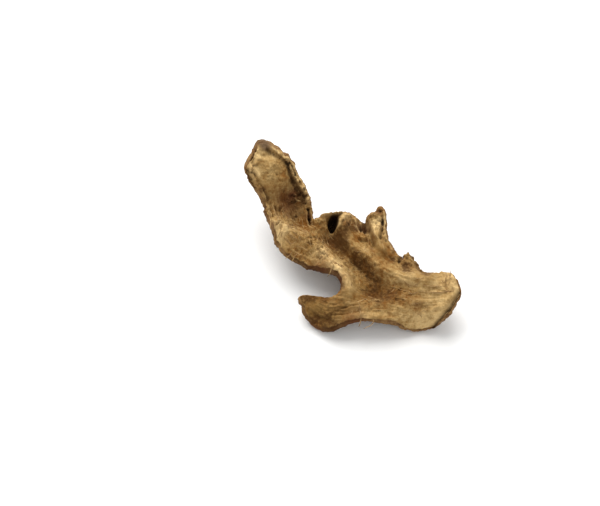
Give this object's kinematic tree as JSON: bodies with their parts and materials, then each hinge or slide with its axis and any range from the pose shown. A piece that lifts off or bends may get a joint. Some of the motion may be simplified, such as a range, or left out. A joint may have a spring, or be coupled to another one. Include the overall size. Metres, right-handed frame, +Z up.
{
  "type": "dried ginger root slice",
  "caption": "Lengthwise slice of dried ginger root, curled as it dried: a long finger, worn knobs, a broad ribbed body with feet and a bay, cut face up, ringed skin below.",
  "frame": {"origin": "centre of the bounding box in plan, at the level of the table that the slice rests on", "axes": "+Z up, out of the cut face; +X to the right along the slice's longest reach; +Y to the back, the way the finger points"},
  "size_m": [0.047, 0.0392, 0.0204],
  "materials": {
    "dried_ginger": "dry, matt and fibrous; pale tan to brown on the cut face, browner in the folds, ringed skin"
  },
  "bodies": {
    "root": {"ginger_slice": "dried_ginger"}
  },
  "joints": []
}
